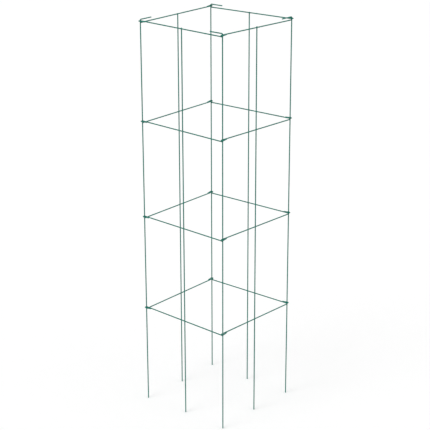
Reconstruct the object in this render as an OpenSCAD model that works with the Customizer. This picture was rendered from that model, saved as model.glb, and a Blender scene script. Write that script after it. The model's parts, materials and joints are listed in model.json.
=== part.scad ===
// Folding square tomato cage of coated steel wire.
// Four like panels stand in a square. Each panel is a hooked corner post, a middle post and four
// rails. A rail is butt-welded to its own corner post, lies on the outer face of its middle post,
// and ends in an eye that turns round the next panel's corner post, so the cage folds flat.
// Millimetres, +Z up, origin in the middle of the square at the height of the feet.

/* [Wire] */
// Diameter of the coated wire
wire_d = 3.8; // [2.5:0.05:5]
// Chamfer on the cut ends of the wire
tip_chamfer = 0.3; // [0.1:0.05:0.6]

/* [Panels] */
// Distance between neighbouring corner posts, axis to axis
post_pitch = 350; // [250:1:480]
// Height of one step from rail to rail
ring_pitch = 337; // [200:1:420]
// Height of the bottom rails above the feet
leg_length = 348; // [150:1:450]
// How far the middle posts stand above the top rails
middle_over = 1; // [0.5:0.5:20]

/* [Eyes] */
// Radial play of an eye on the post that it turns round
eye_clearance = 0.5; // [0.3:0.05:2]
// Vertical play between an eye and the rail that starts below it
eye_play = 1.1; // [0.4:0.05:2]
// Length of the straight tail that closes an eye
tail_length = 19.5; // [12:0.5:30]
// Gap between the end of the tail and its rail
tail_gap = 0.2; // [0.1:0.05:0.3]

/* [Hooks] */
// Reach of a hook, from the axis of its post to its tip
hook_reach = 51; // [25:1:90]
// Bend radius of a hook, at the middle of the wire
hook_bend_r = 3.5; // [3:0.5:12]
// Height between the top eye and the start of the hook's bend
hook_play = 0.2; // [0.1:0.1:10]

/* [Welds] */
// How far the bead round a rail's butt weld stands proud of the wire
butt_flash = 0.45; // [0.1:0.05:0.6]
// How far the nugget between a rail and its middle post stands proud of the wire
cross_flash = 0.1; // [0.05:0.05:0.3]
// How deep a rail is set into its middle post by the weld
weld_set = 0.8; // [0.1:0.05:1.2]

/* [Hidden] */
$fn = 48;
SIDES = ["front", "left", "back", "right"];
RAILS = ["top", "upper", "lower", "bottom"];
coat_green = [0.06, 0.34, 0.29];

// A rail leaves its own post on the post's axis and touches the circle of its eye, which is centred
// on the next post. So it toes inwards a little, and it climbs to clear the rail below the eye.
eye_r = wire_d + eye_clearance;
eye_rise = wire_d + eye_play;
rail_toe = asin(eye_r / post_pitch);
rail_plan = post_pitch * cos(rail_toe);
rail_slope = atan(eye_rise / rail_plan);
rail_run = rail_plan / cos(rail_slope);

// The tail leaves the eye at the angle that brings its end down to the rail.
tail_turn = acos((wire_d + tail_gap - eye_r) / norm([eye_r, tail_length])) - atan(tail_length / eye_r);

// The middle post stands half way along the panel, on the inner face of the rails.
middle_x = post_pitch / 2;
rail_plan_to_middle = middle_x / cos(rail_toe);
rail_inset_at_middle = middle_x * tan(rail_toe);
rail_rise_at_middle = rail_plan_to_middle * tan(rail_slope);
weld_pitch = (wire_d - weld_set) / cos(rail_toe);
middle_y = -rail_inset_at_middle - weld_pitch;
top_rail_z = rail_z(0);
middle_top_z = top_rail_z + rail_rise_at_middle + wire_d / 2 + middle_over;

// The hook's bend starts above the top eye on the post.
hook_bend_z = top_rail_z + eye_rise + wire_d / 2 + hook_play;

// Height of a rail's start above the feet; level 0 is the top one
function rail_z(level) = leg_length + ring_pitch * (len(RAILS) - 1 - level);

// Turn of a panel about the middle of the square; the panels follow each other clockwise from above
function side_turn(side) = 180 - 90 * search([side], SIDES)[0];

// Straight wire along +Z from the origin, with a chamfer where an end is cut and free
module wire(length, free_start = false, free_end = false) {
    start_z = free_start ? tip_chamfer : 0;
    end_z = free_end ? length - tip_chamfer : length;
    tip_d = wire_d - 2 * tip_chamfer;
    translate([0, 0, start_z])
        cylinder(d = wire_d, h = end_z - start_z);
    if (free_start)
        cylinder(d1 = tip_d, d2 = wire_d, h = tip_chamfer);
    if (free_end)
        translate([0, 0, end_z])
            cylinder(d1 = wire_d, d2 = tip_d, h = tip_chamfer);
}

// Bent wire in the XY plane, round the origin from the +X axis
module bend(r, angle) {
    rotate_extrude(angle = angle)
        translate([r, 0])
            circle(d = wire_d);
}

// Places the frame of a rail's eye, centred on the next post, with X along the rail
module at_eye(level) {
    translate([post_pitch, 0, rail_z(level) + eye_rise])
        rotate([0, -rail_slope, -rail_toe])
            children();
}

// Straight stretch of a rail, from its eye back towards its own post
module rail_wire(length) {
    translate([0, -eye_r, 0])
        rotate([0, -90, 0])
            wire(length);
}

// Eye at the end of a rail: a half turn, then the turn and the tail that close it
module eye() {
    rotate([0, 0, -90])
        bend(eye_r, 180);
    rotate([0, 0, tail_turn]) {
        bend(eye_r, 90);
        translate([0, eye_r, 0])
            rotate([0, -90, 0])
                wire(tail_length, free_end = true);
    }
}

// Horizontal wire of a panel, coped to its own corner post with the bead of the butt weld
module rail(level) {
    welded_run = rail_run - wire_d / 2;
    cope_h = 4 * wire_d;
    color(coat_green)
        difference() {
            at_eye(level) {
                eye();
                rail_wire(welded_run);
                translate([-welded_run, -eye_r, 0])
                    sphere(r = wire_d / 2 + butt_flash);
            }
            translate([0, 0, rail_z(level) - cope_h / 2])
                cylinder(d = wire_d, h = cope_h);
        }
}

// Upright at a panel's start: pin of the hinge, leg and hooked top in one wire
module corner_post() {
    color(coat_green) {
        wire(hook_bend_z, free_start = true);
        translate([hook_bend_r, 0, hook_bend_z]) {
            rotate([90, 0, 0])
                rotate([0, 0, 90])
                    bend(hook_bend_r, 90);
            translate([0, 0, hook_bend_r])
                rotate([0, 90, 0])
                    wire(hook_reach - hook_bend_r, free_end = true);
        }
    }
}

// Upright half way along a panel, with the nuggets that weld it to the rails
module middle_post() {
    levels = [0 : len(RAILS) - 1];
    color(coat_green)
        difference() {
            translate([middle_x, middle_y, 0]) {
                wire(middle_top_z, free_start = true, free_end = true);
                for (level = levels)
                    translate([0, weld_pitch / 2, rail_z(level) + rail_rise_at_middle])
                        sphere(r = wire_d / 2 + cross_flash);
            }
            for (level = levels)
                at_eye(level)
                    rail_wire(rail_run);
        }
}

// Turns a panel, which starts at its corner post and runs along +X, to its side of the square
module on_side(side) {
    rotate([0, 0, side_turn(side)])
        translate([-post_pitch / 2, post_pitch / 2, 0])
            children();
}

for (side = SIDES) {
    on_side(side) corner_post();
    on_side(side) middle_post();
    for (level = [0 : len(RAILS) - 1])
        on_side(side) rail(level);
}
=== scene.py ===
import json
import math

import bpy
import numpy as np
from mathutils import Matrix, Quaternion, Vector


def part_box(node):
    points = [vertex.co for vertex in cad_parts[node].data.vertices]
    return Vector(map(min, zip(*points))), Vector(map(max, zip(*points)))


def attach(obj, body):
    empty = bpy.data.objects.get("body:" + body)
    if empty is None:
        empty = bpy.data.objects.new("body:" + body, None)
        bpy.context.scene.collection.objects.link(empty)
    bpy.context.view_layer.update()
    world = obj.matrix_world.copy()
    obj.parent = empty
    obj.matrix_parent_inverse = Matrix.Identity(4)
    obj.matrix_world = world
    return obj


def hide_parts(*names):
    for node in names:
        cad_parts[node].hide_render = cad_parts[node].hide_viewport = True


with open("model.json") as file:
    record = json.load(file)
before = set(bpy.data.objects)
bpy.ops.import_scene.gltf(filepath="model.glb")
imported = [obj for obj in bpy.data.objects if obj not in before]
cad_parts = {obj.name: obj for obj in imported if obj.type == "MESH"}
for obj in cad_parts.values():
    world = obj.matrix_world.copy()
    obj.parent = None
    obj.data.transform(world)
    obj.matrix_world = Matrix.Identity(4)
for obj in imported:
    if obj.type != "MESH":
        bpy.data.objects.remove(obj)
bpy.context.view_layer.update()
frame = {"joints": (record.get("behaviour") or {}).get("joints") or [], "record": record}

# Names in the frame
SIDES = ("front", "left", "back", "right")
LEVELS = ("top", "upper", "lower", "bottom")

# Sizes that the frame states, in metres
MM = 0.001
MOUNTS = {mount["name"]: mount for mount in frame["record"]["mounts"]}
FOLDS = {joint["name"]: Vector(joint["pos_m"]) for joint in frame["joints"]}
WIRE_R = MOUNTS["legs"]["dims"]["r_mm"] * MM
LEG_LENGTH = MOUNTS["legs"]["dims"]["length_mm"] * MM
HOOK_Z = MOUNTS["front_hook"]["pos_m"][2]
POST_PITCH = (FOLDS["left_fold"] - FOLDS["right_fold"]).length

# Sizes of the bends, as the solids have them
EYE_CLEARANCE = 0.5 * MM
EYE_PLAY = 1.1 * MM
TAIL_LENGTH = 19.5 * MM
TAIL_GAP = 0.2 * MM
HOOK_REACH = 51 * MM
HOOK_BEND_R = 3.5 * MM

# A rail leaves its own post on the post's axis, toes inwards to touch the circle of its eye, and climbs
EYE_R = 2 * WIRE_R + EYE_CLEARANCE
EYE_RISE = 2 * WIRE_R + EYE_PLAY
RAIL_TOE = math.asin(EYE_R / POST_PITCH)
RAIL_PLAN = POST_PITCH * math.cos(RAIL_TOE)
RAIL_SLOPE = math.atan(EYE_RISE / RAIL_PLAN)
RAIL_RUN = math.hypot(RAIL_PLAN, EYE_RISE)
TAIL_REACH = math.hypot(EYE_R, TAIL_LENGTH)
TAIL_TURN = math.acos((2 * WIRE_R + TAIL_GAP - EYE_R) / TAIL_REACH) - math.atan(TAIL_LENGTH / EYE_R)

# Welds, as the solids have them: how deep a rail sits in its middle post, and the bead of a butt weld
WELD_SET = 0.8 * MM
WELD_PITCH = (2 * WIRE_R - WELD_SET) / math.cos(RAIL_TOE)
BUTT_FLASH = 0.45 * MM
BEAD_R = WIRE_R + BUTT_FLASH

# Surface of the welds: how far each kind runs out, how far a crossing may grow, its lumps, and the
# depth at which the coat has pooled in full
BUTT_BLEND = 0.9 * MM
CROSS_BLEND = 1.1 * MM
CROSS_GROWTH = 0.9 * MM
CROSS_R = WIRE_R + CROSS_GROWTH
LUMP_SIZE = 0.45 * MM
LUMP_HEIGHT = 0.07 * MM
POOL_DEPTH = 0.3 * MM
# Halvings that find a weld's surface
SOLVE_STEPS = 14
# Start of a rail, hidden in its own post: how far it stays from the post's axis, and its radius
HIDDEN_INSET = WIRE_R / 2
HIDDEN_R = WIRE_R / 2

# Mesh of a wire: points round it, and rings along its bends, welds, rubbed stretches and rounded tips
ROUND = 32
BEND_STEP = math.radians(5)
WELD_STEP = 0.2 * MM
WELD_HALF = 4 * MM
RUB_STEP = 1 * MM
RUB_HALF = 9 * MM
RUB_FADE = 3 * MM
TIP_ROUND = 0.45 * MM
TIP_FADE = 0.9 * MM
TIP_RINGS = 5
LEAST_STEP = 0.02 * MM

# Map of a wire's skin: rows on a post and on a rail, and the share of a row's height that is used
POST_ROWS = 12
RAIL_ROWS = 6
ROW_USED = 0.94


def centre_line(start, heading, stretches, stations):
    """Points and headings at stations along a wire, whose stretches are a length and a turn each."""
    points = np.zeros((len(stations), 3))
    angles = np.zeros(len(stations))
    place = np.array(start, float)
    begin = 0.0
    for length, turn in stretches:
        on = stations >= begin - LEAST_STEP
        along = stations[on] - begin
        ahead = np.array([math.cos(heading), math.sin(heading)])
        left = np.array([-ahead[1], ahead[0]])
        if turn:
            radius = length / turn
            swung = along / radius
            forth, aside = radius * np.sin(swung), radius * (1 - np.cos(swung))
            end = radius * (math.sin(turn) * ahead + (1 - math.cos(turn)) * left)
        else:
            swung, forth, aside = 0 * along, along, 0 * along
            end = length * ahead
        points[on, :2] = place + np.outer(forth, ahead) + np.outer(aside, left)
        angles[on] = heading + swung
        place = place + end
        heading += turn
        begin += length
    return points, angles


def stations_on(stretches, rows, fine):
    """Places for a wire's rings: cuts between the rows of its map, bends, tips and fine stretches."""
    total = sum(length for length, turn in stretches)
    tip = TIP_ROUND * (1 - np.sin(np.linspace(0, math.pi / 2, TIP_RINGS)))
    places = [np.linspace(0, total, rows + 1), tip, total - tip]
    begin = 0.0
    for length, turn in stretches:
        bends = math.ceil(abs(turn) / BEND_STEP)
        places.append(np.linspace(begin, begin + length, bends + 2))
        begin += length
    places += [np.arange(middle - half, middle + half, step) for middle, half, step in fine]
    places = np.unique(np.concatenate(places))
    places = places[(places >= 0) & (places <= total)]
    apart = np.diff(places) > LEAST_STEP
    return np.append(places[:-1][apart], total)


def melted(gap, other_gap, blend):
    """Distance to two shapes run together, with a hollow fillet that reaches this far along each."""
    share = np.clip(1 - np.abs(gap - other_gap) / blend, 0, 1)
    return np.minimum(gap, other_gap) - blend * share**2 / 4


def wire_gap(points, origin, along):
    """Distance from points to a long straight wire."""
    offset = points - np.array(origin)
    along = np.array(along)
    across = offset - np.outer(offset @ along, along).reshape(offset.shape)
    return np.linalg.norm(across, axis=-1) - WIRE_R


def lumps(points):
    """Unevenness of a weld's surface."""
    return LUMP_HEIGHT * np.prod(np.sin(points / LUMP_SIZE), axis=-1)


class Wire:
    """Round wire along straight and bent stretches in one plane, as rings of points.

    Each point also has its wear, the coat pooled there, and its place on the skin of the straight wire.
    """

    def __init__(self, plane, start, heading, stretches, rows, fine=()):
        self.rows = rows
        self.stations = stations_on(stretches, rows, fine)
        flat, angles = centre_line(start, heading, stretches, self.stations)
        left = np.stack([-np.sin(angles), np.cos(angles), 0 * angles], axis=1)
        self.around = np.arange(ROUND) * 2 * math.pi / ROUND
        outward = np.cos(self.around)[None, :, None] * left[:, None, :]
        outward = outward + np.sin(self.around)[None, :, None] * np.array([0.0, 0.0, 1.0])
        turn = np.array(plane.to_3x3())
        self.centres = flat @ turn.T + np.array(plane.translation)
        self.outward = outward @ turn.T
        self.radius = np.full(outward.shape[:2], WIRE_R)
        self.wear = np.zeros(outward.shape[:2])
        self.pool = np.zeros(outward.shape[:2])
        self.skin = np.zeros(outward.shape)
        self.skin[..., 0] = WIRE_R * np.cos(self.around)
        self.skin[..., 1] = WIRE_R * np.sin(self.around)
        self.skin[..., 2] = self.stations[:, None]
        self.skin += self.centres[0]

    def points(self, radius):
        """Points of the rings at these radii."""
        return self.centres[:, None] + self.outward * radius[..., None]

    def round_tip(self, from_end):
        """Rounds and wears the wire where it was cut, from the distance of each station to that end."""
        inset = np.clip(TIP_ROUND - from_end, 0, None)
        drop = TIP_ROUND - np.sqrt(TIP_ROUND**2 - inset**2)
        self.radius -= drop[:, None]
        self.wear = np.maximum(self.wear, np.exp(-from_end / TIP_FADE)[:, None])

    def weld_to(self, other_gap, blend, most):
        """Grows the wire, up to a largest radius, until it runs into another shape with a fillet."""
        low = self.radius
        high = np.full_like(low, most)
        for _ in range(SOLVE_STEPS):
            middle = (low + high) / 2
            inside = melted(middle - WIRE_R, other_gap(self.points(middle)), blend) < 0
            low = np.where(inside, middle, low)
            high = np.where(inside, high, middle)
        self.radius = low
        self.pool = np.clip((low - WIRE_R) / POOL_DEPTH, 0, 1)

    def mesh(self, name):
        """Closed mesh of the wire, with its wear, pools and skin, and the map of its rows."""
        rings = len(self.stations)
        points = self.points(self.radius).reshape(-1, 3)
        ring, side = np.meshgrid(np.arange(rings - 1), np.arange(ROUND), indexing="ij")
        after = (side + 1) % ROUND
        corners = [(ring, side), (ring, after), (ring + 1, after), (ring + 1, side)]
        faces = np.stack([r * ROUND + s for r, s in corners], axis=-1).reshape(-1, 4).tolist()
        foot = list(range(ROUND))[::-1]
        head = [(rings - 1) * ROUND + k for k in range(ROUND)]
        mesh = bpy.data.meshes.new(name)
        mesh.from_pydata(points.tolist(), [], faces + [foot, head])
        mesh.polygons.foreach_set("use_smooth", [True] * len(faces) + [False, False])
        for label, values in (("wear", self.wear), ("pool", self.pool)):
            mesh.attributes.new(label, "FLOAT", "POINT").data.foreach_set("value", values.ravel())
        skin = mesh.attributes.new("skin", "FLOAT_VECTOR", "POINT")
        skin.data.foreach_set("vector", self.skin.ravel())
        self.map_rows(mesh, ring, side)
        return mesh

    def map_rows(self, mesh, ring, side):
        """Lays the skin out in rows of one length, with the end faces in the first row and the last."""
        run = self.stations[-1] / self.rows
        row = np.minimum((self.stations[:-1] + self.stations[1:]) / 2 // run, self.rows - 1)
        along = [(self.stations[:-1] - row * run) / run, (self.stations[1:] - row * run) / run]
        u = np.stack([along[0], along[0], along[1], along[1]], axis=-1)[ring[:, 0]]
        u = np.repeat(u[:, None, :], ROUND, axis=1)
        turn = np.stack([side, side + 1, side + 1, side], axis=-1) / ROUND
        v = (row[ring[:, 0]][:, None, None] + turn * ROW_USED) / self.rows
        skin = np.stack([u, v], axis=-1).reshape(-1, 2)
        rim = np.stack([0 * self.around, self.around / (2 * math.pi) * ROW_USED / self.rows], axis=-1)
        last = rim + np.array([1.0, 1 - 1 / self.rows])
        layer = mesh.uv_layers.new(name="OFBake")
        layer.uv.foreach_set("vector", np.concatenate([skin, rim[::-1], last]).ravel())


def panel_frame(side):
    """Frame of a panel: foot of its corner post, X along its rails, Z up, the cage's inside at -Y."""
    hook = MOUNTS[f"{side}_hook"]
    along = Vector(hook["axis"])
    foot = Vector(hook["pos_m"]) - along * HOOK_REACH
    up = Vector((0, 0, 1))
    foot.z = 0
    turn = Matrix((along, up.cross(along), up)).transposed()
    return Matrix.Translation(foot) @ turn.to_4x4()


def upright_plane(panel, x, y):
    """Plane of a post: its first axis along the rails, its second one up."""
    return panel @ Matrix.Translation((x, y, 0)) @ Matrix.Rotation(math.pi / 2, 4, "X")


def eye_plane(panel, z):
    """Plane of a rail and its eye, centred on the post that the eye turns round."""
    place = Matrix.Translation((POST_PITCH, 0, z + EYE_RISE))
    return panel @ place @ Matrix.Rotation(-RAIL_TOE, 4, "Z") @ Matrix.Rotation(-RAIL_SLOPE, 4, "Y")


def rail_heights(side):
    """Heights of a panel's rails at their own post."""
    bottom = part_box(f"{side}_bottom_rail")[0].z
    return {level: LEG_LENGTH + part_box(f"{side}_{level}_rail")[0].z - bottom for level in LEVELS}


def corner_post(side):
    """Upright of a panel: a leg, the pin for the next panel's eyes, and the hook at the top."""
    panel = panel_frame(side)
    rise = HOOK_Z - HOOK_BEND_R
    quarter = math.pi / 2
    hook = HOOK_REACH - HOOK_BEND_R
    stretches = [(rise, 0), (HOOK_BEND_R * quarter, -quarter), (hook, 0)]
    eyes = [z + EYE_RISE for z in rail_heights(side).values()]
    fine = [(z, RUB_HALF, RUB_STEP) for z in eyes]
    wire = Wire(upright_plane(panel, 0, 0), (0, 0), quarter, stretches, POST_ROWS, fine)
    for z in eyes:
        rubbed = np.exp(-(((wire.stations - z) / RUB_FADE) ** 2))
        wire.wear = np.maximum(wire.wear, rubbed[:, None])
    wire.round_tip(wire.stations)
    wire.round_tip(wire.stations[-1] - wire.stations)
    return wire


def middle_post(side):
    """Upright half way along a panel, welded to the inner face of the rails."""
    panel = panel_frame(side)
    x = POST_PITCH / 2
    y = -x * math.tan(RAIL_TOE) - WELD_PITCH
    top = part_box(f"{side}_middle_post")[1].z
    rail_lines = []
    fine = []
    for z in rail_heights(side).values():
        plane = eye_plane(panel, z)
        rail_lines.append((plane @ Vector((0, -EYE_R, 0)), plane.to_3x3() @ Vector((1, 0, 0))))
        crossing = z + x / math.cos(RAIL_TOE) * math.tan(RAIL_SLOPE)
        fine.append((crossing, WELD_HALF, WELD_STEP))
    wire = Wire(upright_plane(panel, x, y), (0, 0), math.pi / 2, [(top, 0)], POST_ROWS, fine)

    def rails_gap(points):
        gaps = [wire_gap(points, *line) for line in rail_lines]
        return np.min(gaps, axis=0) - lumps(points)

    wire.weld_to(rails_gap, CROSS_BLEND, CROSS_R)
    wire.round_tip(wire.stations)
    wire.round_tip(wire.stations[-1] - wire.stations)
    return wire


def rail(side, level):
    """Horizontal wire of a panel: butt-welded to its own post, with an eye and a tail at its end."""
    panel = panel_frame(side)
    plane = eye_plane(panel, rail_heights(side)[level])
    run = RAIL_RUN - HIDDEN_INSET
    eye_turn = math.pi + TAIL_TURN
    stretches = [(run, 0), (EYE_R * eye_turn, eye_turn), (TAIL_LENGTH, 0)]
    wire = Wire(plane, (-run, -EYE_R), 0, stretches, RAIL_ROWS, [(0, WELD_HALF, WELD_STEP)])
    post_line = panel.translation, Vector((0, 0, 1))
    bead = np.array(plane @ Vector((WIRE_R - RAIL_RUN, -EYE_R, 0)))

    def post_gap(points):
        bead_gap = np.linalg.norm(points - bead, axis=-1) - BEAD_R
        return melted(wire_gap(points, *post_line), bead_gap - lumps(points), BUTT_BLEND)

    wire.weld_to(post_gap, BUTT_BLEND, BEAD_R)
    wire.radius[0] = HIDDEN_R
    on_eye = (wire.stations > run) & (wire.stations < run + EYE_R * eye_turn)
    wire.wear = np.outer(on_eye, np.clip(np.cos(wire.around), 0, 1))
    wire.round_tip(wire.stations[-1] - wire.stations)
    return wire


def add_node(tree, kind, inputs=None, **settings):
    """Adds a shader node. Each input is a value, or the output of another node."""
    made = tree.nodes.new("ShaderNode" + kind)
    for name, value in settings.items():
        setattr(made, name, value)
    for name, value in (inputs or {}).items():
        if isinstance(value, bpy.types.NodeSocket):
            tree.links.new(value, made.inputs[name])
        else:
            made.inputs[name].default_value = value
    return made


def new_tree(owner):
    """Empty node tree of a material or the world."""
    owner.use_nodes = True
    owner.node_tree.nodes.clear()
    return owner.node_tree


# Colours of the coat in linear light: the ends of its tones, where it pools, and where it is rubbed
COAT_DEEP = (0.000, 0.116, 0.085, 1)
COAT_LIGHT = (0.001, 0.212, 0.157, 1)
COAT_POOLED = (0.001, 0.090, 0.064, 1)
COAT_RUBBED = (0.008, 0.240, 0.182, 1)
# Patterns of the coat: size in metres, octaves of noise, and how far it is drawn out along the wire
TONE = (30 * MM, 3, 1)
STREAK = (0.6 * MM, 2, 30)
PEEL = (1.3 * MM, 1, 1)
GRAIN = (0.22 * MM, 2, 1)
# Values of the noise that count as its ends, and how strong its finer octaves are
NOISE_LOW = 0.3
NOISE_HIGH = 0.7
NOISE_ROUGHNESS = 0.55
# Strengths of what the patterns, the pools and the rubbing do
TONE_SHARE = 0.6
STREAK_SHARE = 0.4
POOL_SHARE = 0.8
RUB_LEAST = 0.1
RUB_MOST = 0.8
PEEL_HEIGHT = 0.12 * MM
GLOSSIEST = 0.29
DULLEST = 0.43
POLISH = 0.1
COAT_SHINE = 0.22
# Places of the colour sockets on a Mix node
MIX_FACTOR = 0
MIX_FIRST = 6
MIX_SECOND = 7
MIX_RESULT = 2


def coat_material():
    """Semi-gloss green coat with streaks, orange peel, grain, pools at the welds and rubbed places."""
    material = bpy.data.materials.new("green_coat")
    tree = new_tree(material)
    skin = add_node(tree, "Attribute", attribute_name="skin").outputs["Vector"]
    pool = add_node(tree, "Attribute", attribute_name="pool").outputs["Fac"]
    wear = add_node(tree, "Attribute", attribute_name="wear").outputs["Fac"]

    def pattern(size, octaves, stretch):
        scale = (1 / size, 1 / size, 1 / (size * stretch))
        place = add_node(tree, "Mapping", {"Vector": skin, "Scale": scale}).outputs["Vector"]
        settings = {"Vector": place, "Scale": 1, "Detail": octaves, "Roughness": NOISE_ROUGHNESS}
        return add_node(tree, "TexNoise", settings).outputs["Fac"]

    def ranged(value, to_low, to_high):
        span = {"From Min": NOISE_LOW, "From Max": NOISE_HIGH, "To Min": to_low, "To Max": to_high}
        return add_node(tree, "MapRange", {"Value": value} | span).outputs["Result"]

    def worked(operation, first, second):
        return add_node(tree, "Math", {0: first, 1: second}, operation=operation).outputs["Value"]

    def mixed(factor, first, second):
        colours = {MIX_FACTOR: factor, MIX_FIRST: first, MIX_SECOND: second}
        return add_node(tree, "Mix", colours, data_type="RGBA").outputs[MIX_RESULT]

    peel = pattern(*PEEL)
    tone = ranged(pattern(*TONE), 0, TONE_SHARE)
    streak = ranged(pattern(*STREAK), 0, STREAK_SHARE)
    toned = mixed(worked("ADD", tone, streak), COAT_DEEP, COAT_LIGHT)
    pooled = mixed(worked("MULTIPLY", pool, POOL_SHARE), toned, COAT_POOLED)
    rubbed = worked("MULTIPLY", wear, ranged(peel, RUB_LEAST, RUB_MOST))
    dull = ranged(pattern(*GRAIN), GLOSSIEST, DULLEST)
    polish = worked("MULTIPLY", worked("MAXIMUM", pool, rubbed), POLISH)
    bump = add_node(tree, "Bump", {"Strength": 1, "Distance": PEEL_HEIGHT, "Height": peel})
    surface = {
        "Base Color": mixed(rubbed, pooled, COAT_RUBBED),
        "Roughness": worked("SUBTRACT", dull, polish),
        "Specular IOR Level": COAT_SHINE,
        "Normal": bump.outputs["Normal"],
    }
    shader = add_node(tree, "BsdfPrincipled", surface)
    add_node(tree, "OutputMaterial", {"Surface": shader.outputs["BSDF"]})
    return material


def seen_white(tree):
    """1 for what the camera, a reflection or clear material shows, 0 for light that falls on things."""
    path = add_node(tree, "LightPath")
    seen = path.outputs["Is Camera Ray"]
    for ray in ("Is Glossy Ray", "Is Transmission Ray"):
        either = {0: seen, 1: path.outputs[ray]}
        seen = add_node(tree, "Math", either, operation="MAXIMUM").outputs["Value"]
    return seen


# Stage: a floor that a faint glow lifts to white, a white surround, and two wide soft lamps
FLOOR_SIZE = 60
FLOOR_WHITE = (0.9, 0.9, 0.9, 1)
FLOOR_LIFT = 0.16
FILL = 0.5
WHITE = (1, 1, 1, 1)
# Name, azimuth and elevation of where the light comes from, strength and width across the sky
LAMPS = (
    ("key", math.radians(-100), math.radians(52), 1.3, math.radians(30)),
    ("fill", math.radians(15), math.radians(38), 0.6, math.radians(60)),
)

# Camera of the photograph: where it stands from what it looks at, and its lens on a square picture
LOOK_AT = Vector((-0.0117, -0.0018, 0.6919))
CAMERA_AZIMUTH = math.radians(-49.3)
CAMERA_ELEVATION = math.radians(19.58)
CAMERA_ROLL = math.radians(0.17)
CAMERA_DISTANCE = 4.539
CAMERA_LENS = 111.05
SENSOR = 36


def towards(azimuth, elevation):
    """Unit vector from the cage to a point of the sky. Azimuth 0 is the front, at -Y."""
    flat = math.cos(elevation)
    return Vector((math.sin(azimuth) * flat, -math.cos(azimuth) * flat, math.sin(elevation)))


def add_object(name, data):
    made = bpy.data.objects.new(name, data)
    bpy.context.scene.collection.objects.link(made)
    return made


def add_floor():
    half = FLOOR_SIZE / 2
    corners = [(-half, -half, 0), (half, -half, 0), (half, half, 0), (-half, half, 0)]
    mesh = bpy.data.meshes.new("floor")
    mesh.from_pydata(corners, [], [range(len(corners))])
    material = bpy.data.materials.new("floor_white")
    tree = new_tree(material)
    lit = add_node(tree, "BsdfDiffuse", {"Color": FLOOR_WHITE})
    lift = add_node(tree, "Math", {0: seen_white(tree), 1: FLOOR_LIFT}, operation="MULTIPLY")
    glow = add_node(tree, "Emission", {"Strength": lift.outputs["Value"]})
    both = add_node(tree, "AddShader", {0: lit.outputs["BSDF"], 1: glow.outputs["Emission"]})
    add_node(tree, "OutputMaterial", {"Surface": both.outputs["Shader"]})
    mesh.materials.append(material)
    floor = add_object("floor", mesh)


def add_surround():
    world = bpy.data.worlds.new("surround")
    tree = new_tree(world)
    fill = add_node(tree, "Background", {"Color": WHITE, "Strength": FILL})
    white = add_node(tree, "Background", {"Color": WHITE})
    shown = {0: seen_white(tree), 1: fill.outputs["Background"], 2: white.outputs["Background"]}
    mix = add_node(tree, "MixShader", shown)
    add_node(tree, "OutputWorld", {"Surface": mix.outputs["Shader"]})
    bpy.context.scene.world = world


def add_lamps():
    for name, azimuth, elevation, strength, width in LAMPS:
        data = bpy.data.lights.new(name, "SUN")
        data.energy = strength
        data.angle = width
        lamp = add_object(name, data)
        lamp.rotation_mode = "QUATERNION"
        lamp.rotation_quaternion = towards(azimuth, elevation).to_track_quat("Z", "Y")


def add_camera():
    data = bpy.data.cameras.new("camera")
    data.sensor_width = SENSOR
    data.lens = CAMERA_LENS
    camera = add_object("camera", data)
    back = towards(CAMERA_AZIMUTH, CAMERA_ELEVATION)
    camera.location = LOOK_AT + back * CAMERA_DISTANCE
    camera.rotation_mode = "QUATERNION"
    camera.rotation_quaternion = back.to_track_quat("Z", "Y") @ Quaternion((0, 0, 1), -CAMERA_ROLL)
    bpy.context.scene.camera = camera


def add_cage():
    """One piece for each wire, which rides on its panel in place of its plain solid."""
    coat = coat_material()
    for side in SIDES:
        wires = {"corner_post": corner_post(side), "middle_post": middle_post(side)}
        wires |= {f"{level}_rail": rail(side, level) for level in LEVELS}
        for part, wire in wires.items():
            node = f"{side}_{part}"
            piece = add_object(f"{node}_wire", wire.mesh(node))
            piece.data.materials.append(coat)
            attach(piece, f"{side}_panel")
            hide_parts(node)


add_camera()
add_surround()
add_lamps()
add_floor()
add_cage()
bpy.context.scene.view_settings.view_transform = "Standard"
